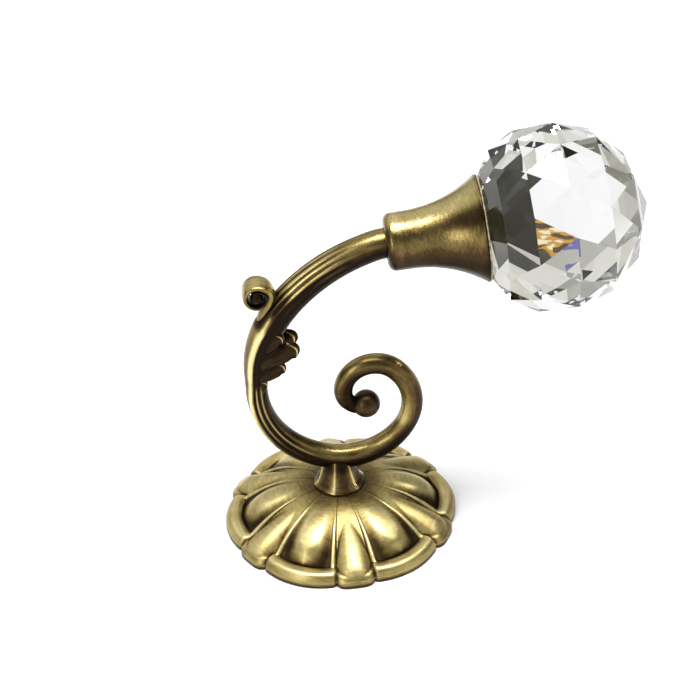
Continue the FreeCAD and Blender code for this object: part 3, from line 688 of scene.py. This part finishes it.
LOBES = [
    # root, middle and tip beside the leaf's arc, half width, half thickness
    ((10.5, -0.9, 1.6), (15.0, -0.9, 3.5), (19.6, 1.2, 2.6), 1.6, 1.1),
    ((7.6, -0.7, 1.9), (12.6, 0.6, 3.9), (18.2, 3.4, 3.0), 2.2, 1.2),
    ((4.2, -0.6, 2.0), (9.2, 3.0, 4.2), (16.6, 9.2, 2.8), 2.9, 1.4),
    ((0.4, -0.6, 1.8), (2.4, 3.0, 3.6), (7.4, 7.4, 2.5), 2.2, 1.2),
    ((-2.0, -0.2, 1.3), (4.0, 1.2, 3.1), (10.6, 1.6, 2.4), 2.5, 1.0),
    ((-7.0, -0.9, 1.2), (-3.6, 0.2, 2.5), (0.4, 2.6, 2.0), 1.3, 0.9),
]
LOBE_ROUND_FROM = 0.74
LOBE_ROOT = 0.06
NAIL_AT = 0.935
NAIL_BOW = 0.09


def lobe_sheet(side, places, half_wide, half_thick):
    """One finger of the leaf: an ellipse carried along a quadratic curve from root to tip,
    that is drawn towards the middle place. It widens to a blunt tip, with a furrow down its
    outer face and a raised nail line bowed across the tip."""
    root, middle, tip = (beside_leaf(along, inwards, out * side) for along, inwards, out in places)
    share = np.linspace(0.0, 1.0, 70)[:, None]
    turn = round_turn(44)
    line = (1.0 - share) ** 2 * root + 2.0 * share * (1.0 - share) * middle + share ** 2 * tip
    ahead = ahead_along(line)
    wide = np.cross(ahead, side * ACROSS)
    wide /= np.linalg.norm(wide, axis=1)[:, None]
    thick = np.cross(wide, ahead)

    swell = 0.62 + 0.38 * step_between(0.0, 0.85, share)
    tip_share = np.clip((share - LOBE_ROUND_FROM) / (1.0 - LOBE_ROUND_FROM), 0.0, 1.0)
    root_share = np.clip((LOBE_ROOT - share) / LOBE_ROOT, 0.0, 1.0)
    body = swell * np.sqrt(1.0 - tip_share ** 2.4) * np.sqrt(1.0 - root_share ** 2)
    nail = share - NAIL_AT + NAIL_BOW * np.cos(turn) ** 2
    furrow = 0.40 * np.clip(np.sin(turn), 0.0, None) ** 2 * (1.0 - step_between(0.76, 0.88, share))
    body = body * (1.0 - furrow + 0.08 * hump(nail, 0.02) - 0.10 * hump(nail + 0.07, 0.05))
    points = (line[:, None, :] + (half_wide * body * np.cos(turn))[..., None] * wide[:, None, :]
              + (half_thick * body * np.sin(turn))[..., None] * thick[:, None, :])
    # The finger dark, a little darker at its edges, with a painted highlight along the nail line and a
    # painted sheen halfway along one edge.
    dark = 1.0 - 1.8 * hump(nail, 0.011) + 0.15 * np.cos(turn * 2.0)
    dark = dark - 0.30 * hump(share - 0.55, 0.25) * hump(np.cos(turn) - 0.75, 0.2)
    return points, False, dark, grid_points(share, np.cos(turn), np.sin(turn))


# The rolled tip stands off the outer side of the arc past the leaf.
ROLL_ALONG = 7.7
ROLL_RADIUS = 3.9
ROLL_GAP = 4.5
reach_heading = LEAF_HEADING - LEAF_SWEEP
reach_start = leaf_centre + LEAF_ARC * direction(reach_heading + 90.0)
reach_centre = reach_start - REACH_ARC * direction(reach_heading + 90.0)
roll_heading = reach_heading - math.degrees(ROLL_ALONG / REACH_ARC)
roll_centre = reach_centre + direction(roll_heading + 90.0) * (REACH_ARC + ROLL_GAP + ROLL_RADIUS)


def bridge_between(before, after, count):
    """Cubic from the end of one line to the start of the next, level with both, as points
    without its ends."""
    start, end = before[-1], after[0]
    lead = np.linalg.norm(end - start)
    go = (start - before[-2]) / np.linalg.norm(start - before[-2])
    arrive = (after[1] - end) / np.linalg.norm(after[1] - end)
    t = np.linspace(0.0, 1.0, count + 2)[1:-1, None]
    return ((1 + 2 * t) * (1 - t) ** 2 * start + t * (1 - t) ** 2 * lead * go
            + t ** 2 * (3 - 2 * t) * end + t ** 2 * (t - 1) * lead * arrive)


def leaf_spine_sheet():
    """The leaf's spine and its rolled tip as one band: up the arm's outer side, off it as a
    neck, over the top and into a spiral whose radius shrinks with the angle. Its section is
    a rounded oblong, by powers of the turn's cosine and sine."""
    low = np.linspace(-17.0, 12.5, 70)
    sunk = -1.0 + 1.6 * (1.0 - step_between(-17.0, -7.0, low)) - 0.7 * step_between(0.0, 12.0, low)
    spine = beside_leaf(low, sunk, 0.0)
    degrees = np.linspace(-30.0, 500.0, 150)
    spiral_out = np.interp(degrees, [-30.0, 60.0, 180.0, 270.0, 360.0, 450.0, 500.0],
                           [4.0, 3.3, 3.05, 3.0, 2.6, 1.8, 1.3])
    spiral = roll_centre + spiral_out[:, None] * direction(degrees)
    bridge = bridge_between(spine, spiral, 24)
    line = np.concatenate([spine, bridge, spiral])
    gone = lengths_along(line)
    start = gone[len(spine)]
    turn_in = gone[len(spine) + len(bridge)]
    total = gone[-1]
    thick = np.interp(gone, [0.0, 15.0, start, turn_in, turn_in + 6.0, turn_in + 14.0, total],
                      [1.0, 1.9, 1.9, 1.5, 0.9, 0.75, 0.45])[:, None]
    wide = np.interp(gone, [0.0, 15.0, start, turn_in, turn_in + 5.0, total - 6.0, total],
                     [1.0, 2.0, 2.2, 2.1, 3.35, 3.35, 3.1])[:, None]
    close = np.clip(np.minimum(gone, total - gone) / 0.7, 0.0, 1.0)[:, None]
    close = np.sqrt(1.0 - (1.0 - close) ** 2)
    outward = np.cross(ACROSS, ahead_along(line))
    turn = round_turn(60)
    squareness = 0.75
    cos = np.sign(np.cos(turn)) * np.abs(np.cos(turn)) ** squareness
    sin = np.sign(np.sin(turn)) * np.abs(np.sin(turn)) ** squareness
    points = (line[:, None, :] + (thick * close * cos)[..., None] * outward[:, None, :]
              + (wide * close * sin)[..., None] * ACROSS)

    gone = gone[:, None]
    # Painted light: the band lighter on one face and darker on the other, the faces swapping over the neck
    # so that the roll is dark inside; painted shade on the roll's flat sides and at the spiral's inner end;
    # a painted highlight on the spine.
    onward = step_between(start, turn_in, gone)
    outer = np.cos(turn) * (2.0 * onward - 1.0)
    dark = 0.05 - 0.30 * np.clip(outer, 0.0, 1.0) + 0.5 * np.clip(-outer, 0.0, 1.0)
    dark = dark + 0.15 * step_between(turn_in + 2.0, turn_in + 8.0, gone) * np.abs(np.sin(turn)) ** 4
    dark = dark + 0.6 * step_between(total - 12.0, total - 5.0, gone)
    dark = dark - 0.25 * (1.0 - onward) * np.clip(np.cos(turn), 0.0, 1.0)
    brush = grid_points(thick * np.cos(turn) * 0.6, wide * np.sin(turn) * 0.6, gone * 0.06)
    return points, False, dark, brush


CURL_BALL = (-0.2, 0.0, -0.3)
CURL_BALL_RADIUS = 3.9
EYE_RADIUS = 1.75
EYE_SIDE = 2.1


def make_arm():
    """The whole arm casting: rod, stem, curl's ball, leaf's spine, roll and fingers."""
    curl_ball = ball_sheet(curl_line[-1] + np.array(CURL_BALL), CURL_BALL_RADIUS, 0.65)
    casting("arm_rod", [arm_rod_sheet(), curl_ball], arm_brass, "scroll_arm")
    casting("arm_stem", [stem_sheet()], arm_brass)
    eyes = [ball_sheet(roll_centre + side * EYE_SIDE * ACROSS, EYE_RADIUS, 0.95) for side in (-1.0, 1.0)]
    casting("leaf_spine", [leaf_spine_sheet(), *eyes], arm_brass)
    fingers = [lobe_sheet(side, lobe[:3], *lobe[3:]) for side in (-1.0, 1.0) for lobe in LOBES]
    casting("leaf_lobes", fingers, arm_brass)


make_arm()


# Bell, glue and ball

BELL_LENGTH = 25.5
BELL_NECK = 7.7
BELL_MOUTH = 14.5
INSIDE_NECK = 6.1
INSIDE_MOUTH = 12.8
CORNER_RADIUS = 2.2
FLARE_START = 5.5
FLARE_LENGTH = 20.0
END_WALL = 4.0
SCREW_HOLE = 2.2
GLUE_REACH = 13.45
GLUE_ALONG = 25.75
GLUE_HALF_WIDE = 0.75
GLUE_HALF_LONG = 0.25

bell_along = direction(BELL_HEADING)
bell_up = direction(BELL_HEADING + 90.0)


def on_bell_axis(reach, along, turn):
    """Points at a reach from the bell's axis and a distance along it."""
    return (BELL_POINT + along[..., None] * bell_along + (reach * np.cos(turn))[..., None] * bell_up
            + (reach * np.sin(turn))[..., None] * ACROSS)


def flare(along, neck, mouth):
    """Radius of the flare: the neck's up to its start, then an arc that leaves the neck level
    and reaches the mouth's radius a flare length further on."""
    rise = mouth - neck
    bow = (rise ** 2 + FLARE_LENGTH ** 2) / (2.0 * rise)
    return neck + bow - np.sqrt(bow ** 2 - np.clip(along - FLARE_START, 0.0, None) ** 2)


def make_bell():
    """The bell turned about its axis: rows follow the outside from the screw hole to the
    mouth, over the rounded lip and back down the inside to the screw hole."""
    corner = np.linspace(0.0, math.pi / 2.0, 12)
    outer = np.linspace(2.8, 25.1, 62)
    inner = np.linspace(24.8, 5.0, 40)
    outer_reach = flare(outer, BELL_NECK, BELL_MOUTH)
    edge = float(outer_reach[-1])
    section = [(SCREW_HOLE, 1.5), (3.2, 1.5), (4.15, 1.45), (4.15, 0.6), (4.15, 0.15), (4.3, 0.0),
               (5.2, 0.0)]
    section += zip(BELL_NECK - CORNER_RADIUS + CORNER_RADIUS * np.sin(corner),
                   CORNER_RADIUS - CORNER_RADIUS * np.cos(corner))
    section += zip(outer_reach, outer)
    outside = len(section)
    section += [(edge + 0.05, 25.3), (edge - 0.15, 25.48), (edge - 0.6, BELL_LENGTH),
                (13.3, BELL_LENGTH), (12.95, 25.45), (12.75, 25.25)]
    section += zip(flare(inner, INSIDE_NECK, INSIDE_MOUTH), inner)
    section += [(5.9, 4.2), (5.5, END_WALL), (3.8, END_WALL), (2.3, END_WALL), (SCREW_HOLE, 3.9)]
    reach, along = section_rows(section)
    turn = round_turn(160)
    from_top = np.degrees(np.abs((turn + math.pi) % FULL - math.pi))
    # Painted light: shade inside, at the neck end and in a line at the lip; a highlight on the collar;
    # shade on the underside; a reflection band below the top; a highlight along the top.
    dark = np.zeros_like(along)
    dark[outside:] = 0.35
    dark = dark + 0.35 * (1.0 - step_between(0.0, 2.2, along)) + 0.3 * hump(along - 25.2, 0.5)
    dark = dark - 0.2 * hump(along - 3.2, 1.0) + 0.7 * step_between(62.0, 110.0, from_top)
    dark = dark + 0.6 * step_between(8.0, 20.0, along) * hump(from_top - 45.0, 13.0)
    dark = dark - 0.45 * (1.0 - step_between(22.0, 36.0, from_top))
    brush = grid_points(along * 0.42, np.cos(turn), np.sin(turn))
    casting("bell_casting", [(on_bell_axis(reach, along, turn), True, dark, brush)],
            bell_brass, "bell_cup")


def make_glue():
    """The squeezed-out ring of glue: a ring section whose outer bulge wanders with the turn,
    as a sum of a few waves."""
    turn = round_turn(220)
    wander = 0.10 * np.sin(turn * 7.0 + 0.4) + 0.07 * np.sin(turn * 13.0 + 2.0) + 0.05 * np.sin(turn * 29.0)
    angle = round_turn(20).T
    reach = GLUE_REACH + (GLUE_HALF_WIDE + wander * (np.cos(angle) > 0.0)) * np.cos(angle)
    along = GLUE_ALONG + GLUE_HALF_LONG * np.sin(angle)
    points = on_bell_axis(reach, along, turn)
    casting("glue_ring", [(points, True, 0.0, points * 0.5)], glue, "adhesive_bead")


make_bell()
make_glue()
for node_name, node_material in (("cup_screw", steel), ("crystal_ball", glass)):
    node_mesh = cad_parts[node_name].data
    node_mesh.materials.clear()
    node_mesh.materials.append(node_material)


# Floor, light and camera

WHITE = (1.0, 1.0, 1.0, 1.0)
FLOOR_HALF = 1.6


def make_floor():
    """A large white sheet under the rosette, that glows by itself far from the lamps."""
    mesh = bpy.data.meshes.new("floor")
    corners = [(x * FLOOR_HALF, y * FLOOR_HALF, 0.0) for x, y in ((-1, -1), (1, -1), (1, 1), (-1, 1))]
    mesh.from_pydata(corners, [], [(0, 1, 2, 3)])
    floor = add_object("floor", mesh)
    finish = new_finish("FloorWhite")
    away = finish.node("ShaderNodeVectorMath", {"operation": "LENGTH"}, {0: finish.object_place()})
    stops = [(at, (level, level, level)) for at, level in ((0.25, 0.0), (0.60, 0.30), (1.0, 0.56))]
    glow = finish.ramp(stops, away.outputs["Value"])
    mesh.materials.append(finish.surface(
        Base_Color=(0.93, 0.93, 0.93, 1.0), Roughness=0.85, Emission_Color=glow, Emission_Strength=1.0))
    floor.visible_transmission = False


# Parts of the studio beyond the white sheet: the way to each, the cosines from there at
# which its shade starts and is full, and how much of the white it leaves.
DARK_PARTS = [
    ((0.05, -0.72, 0.69), 0.74, 0.92, 0.55),
    ((0.05, -0.72, 0.69), 0.92, 0.97, 0.10),
    ((0.82, 0.28, 0.50), 0.72, 0.94, 0.12),
    ((-0.83, 0.47, -0.29), 0.84, 0.92, 0.45),
    ((-0.98, -0.05, 0.15), 0.84, 0.95, 0.45),
    ((-0.33, 0.77, -0.54), 0.9945, 0.9980, 0.15),
    ((-0.17, 0.98, 0.07), 0.9750, 0.9900, 0.38),
    ((-0.62, -0.17, -0.77), 0.83, 0.93, 0.40),
    ((-0.56, 0.32, -0.77), 0.95, 0.985, 0.45),
    ((-0.11, 0.37, -0.92), 0.9920, 0.9970, 0.40),
    ((0.03, -0.10, -0.99), 0.88, 0.95, 0.25),
]
# Slabs of the studio where darkness grows and fades again along the axes, and how much of
# the white each takes: a wall behind, a band across it, and the right-hand side.
DARK_SLABS = [
    ([("Z", -0.42, -0.34, 0.0, 1.0), ("Z", 0.25, 0.45, 1.0, 0.0), ("Y", 0.2, 0.35, 0.0, 1.0)], 0.34),
    ([("Z", -0.41, -0.37, 0.0, 1.0), ("Z", -0.26, -0.22, 1.0, 0.0), ("Y", 0.5, 0.7, 0.0, 1.0)], 0.34),
    ([("X", 0.26, 0.30, 0.0, 1.0), ("Y", 0.0, 0.25, 0.0, 1.0), ("Z", -0.24, -0.18, 1.0, 0.0),
      ("Z", -0.84, -0.78, 0.0, 1.0)], 1.0),
]
# Small coloured lights that the glass breaks up: way, cosine of their size, colour, and the
# part of the streaks' noise that they show on.
SPARKS = [
    ((0.165, 0.886, -0.433), 0.9962, (0.60, 0.32, 0.05, 1.0), (-1.0, 0.0)),
    ((0.165, 0.886, -0.433), 0.9962, (0.92, 0.84, 0.55, 1.0), (0.46, 0.42)),
    ((0.165, 0.886, -0.433), 0.9962, (0.09, 0.05, 0.02, 1.0), (0.51, 0.55)),
    ((0.005, 0.946, -0.325), 0.9990, (0.12, 0.12, 0.36, 1.0), (0.48, 0.52)),
]
SPARK_EDGE = 0.0004
STUDIO_STOPS = [(0.0, (0.014, 0.012, 0.003)), (0.6, (0.60, 0.59, 0.52)), (1.0, (1.0, 1.0, 1.0))]


def make_world():
    """White to the eye; to gloss and through glass white with the studio's dark parts and a
    grey wall behind; a level grey as light."""
    world = bpy.data.worlds.new("Studio")
    bpy.context.scene.world = world
    finish = Finish(world)
    rays = finish.node("ShaderNodeLightPath").outputs
    way = finish.node("ShaderNodeTexCoord").outputs["Generated"]

    def background(colour, strength):
        """Light of the given colour and strength."""
        return finish.node("ShaderNodeBackground", None, {"Color": colour, "Strength": strength}).outputs[0]

    def mixed(share, when_off, when_on):
        """A shader mixed from two by a share."""
        return finish.node("ShaderNodeMixShader", None, {0: share, 1: when_off, 2: when_on}).outputs[0]

    def ranged(value, low, high, at_low, at_high):
        """A smooth change between two values."""
        made = finish.node("ShaderNodeMapRange", {"interpolation_type": "SMOOTHSTEP"}, {
            "Value": value, "From Min": low, "From Max": high, "To Min": at_low, "To Max": at_high})
        return Value(finish, made.outputs["Result"])

    def cosine_to(toward):
        """Cosine of the angle between a ray and a way."""
        return finish.node("ShaderNodeVectorMath", {"operation": "DOT_PRODUCT"}, {
            0: way, 1: toward}).outputs["Value"]

    shade = 1.0
    for toward, start, full, left in DARK_PARTS:
        shade = ranged(cosine_to(toward), start, full, 1.0, left) * shade
    axes = finish.node("ShaderNodeSeparateXYZ", None, {0: way}).outputs
    for limits, taken in DARK_SLABS:
        inside = 1.0
        for axis, *limit in limits:
            inside = ranged(axes[axis], *limit) * inside
        shade = shade * (1.0 - inside * taken)
    studio = finish.ramp(STUDIO_STOPS, shade)
    stretched = finish.node("ShaderNodeVectorMath", {"operation": "MULTIPLY"}, {0: way, 1: (0.4, 1.0, 1.8)})
    streaks = finish.noise(stretched.outputs["Vector"], 150.0, 2.0)
    for toward, size, colour, shown in SPARKS:
        spark = ranged(cosine_to(toward), size - SPARK_EDGE, size, 0.0, 1.0)
        spark = spark * ranged(streaks, *shown, 0.0, 1.0)
        studio = finish.node("ShaderNodeMix", {"data_type": "RGBA"}, {
            0: spark, 6: studio, 7: colour}).outputs[2]
    mirrored = Value(finish, rays["Is Glossy Ray"]) + Value(finish, rays["Is Transmission Ray"])
    shader = mixed(mirrored.clipped(), background(WHITE, 0.55), background(studio, 1.0))
    shader = mixed(rays["Is Camera Ray"], shader, background(WHITE, 1.0))
    finish.node("ShaderNodeOutputWorld", None, {"Surface": shader})


def stand(holder, place, right, above, back):
    """Put a lamp or camera at a place, with its own X, Y and Z axes the given ways."""
    rows = [[right[i], above[i], back[i], place[i]] for i in range(3)]
    holder.matrix_world = Matrix(rows + [[0.0, 0.0, 0.0, 1.0]])


def soft_lamp(name, place, aim, sides, power):
    """A rectangular lamp that looks at a point, its first side along X."""
    lamp = bpy.data.lights.new(name, "AREA")
    lamp.shape = "RECTANGLE"
    lamp.size, lamp.size_y = sides
    lamp.energy = power
    back = np.array(place) - np.array(aim)
    back /= np.linalg.norm(back)
    right = np.array([1.0, 0.0, 0.0]) - back[0] * back
    right /= np.linalg.norm(right)
    stand(add_object(name, lamp), place, right, np.cross(back, right), back)


# The photograph's camera, fitted to the object's outlines: place in metres, azimuth, pitch
# and roll in degrees, focal length and frame in pixels.
CAMERA_PLACE = (-0.03075, -0.4923, 0.40214)
CAMERA_ANGLES = (-4.16, 35.02, -3.14)
FOCAL_PIXELS = 2245.15
FRAME_PIXELS = 700.0
SENSOR_WIDTH = 36.0


def make_camera():
    """The photograph's camera."""
    azimuth, pitch, roll = (math.radians(value) for value in CAMERA_ANGLES)
    level = np.array([math.cos(azimuth), math.sin(azimuth), 0.0])
    forward = np.array([-math.sin(azimuth), math.cos(azimuth), 0.0])
    ahead = math.cos(pitch) * forward - math.sin(pitch) * np.array([0.0, 0.0, 1.0])
    above = np.cross(level, ahead)
    right = math.cos(roll) * level + math.sin(roll) * above
    top = -math.sin(roll) * level + math.cos(roll) * above
    data = bpy.data.cameras.new("PhotoCamera")
    data.sensor_width = SENSOR_WIDTH
    data.lens = SENSOR_WIDTH * FOCAL_PIXELS / FRAME_PIXELS
    data.clip_start = 0.01
    camera = add_object("PhotoCamera", data)
    stand(camera, CAMERA_PLACE, right, top, -ahead)
    bpy.context.scene.camera = camera


make_floor()
make_world()
soft_lamp("KeyLamp", (0.08, -0.05, 0.85), (0.02, 0.0, 0.05), (0.80, 0.24), 10.0)
soft_lamp("StripLamp", (-0.45, -0.45, 0.30), (0.0, 0.0, 0.06), (0.11, 0.45), 1.2)
make_camera()
bpy.context.scene.view_settings.view_transform = "Standard"
